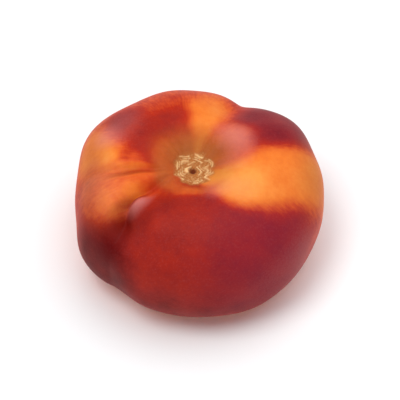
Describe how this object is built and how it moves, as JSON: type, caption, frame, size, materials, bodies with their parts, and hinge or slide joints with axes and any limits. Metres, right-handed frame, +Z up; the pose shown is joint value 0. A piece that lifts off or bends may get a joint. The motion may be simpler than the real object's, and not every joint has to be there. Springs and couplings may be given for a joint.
{
  "type": "flat peach",
  "caption": "Flat peach, one whole ripe fruit as picked, squat and lobed, with a corky blossom scar in a shallow basin on top and a stem cavity underneath.",
  "frame": {"origin": "on the resting plane, at the middle of the fruit's length and width", "axes": "+Z up from the stem end to the blossom end; the deep end of the suture runs from the scar towards -X and -Y"},
  "size_m": [0.0696, 0.0688, 0.0387],
  "materials": {
    "peach_skin": "satin, finely downy fruit skin, orange ground with deep red blush"
  },
  "bodies": {
    "root": {"flat_peach": "peach_skin"}
  },
  "joints": []
}
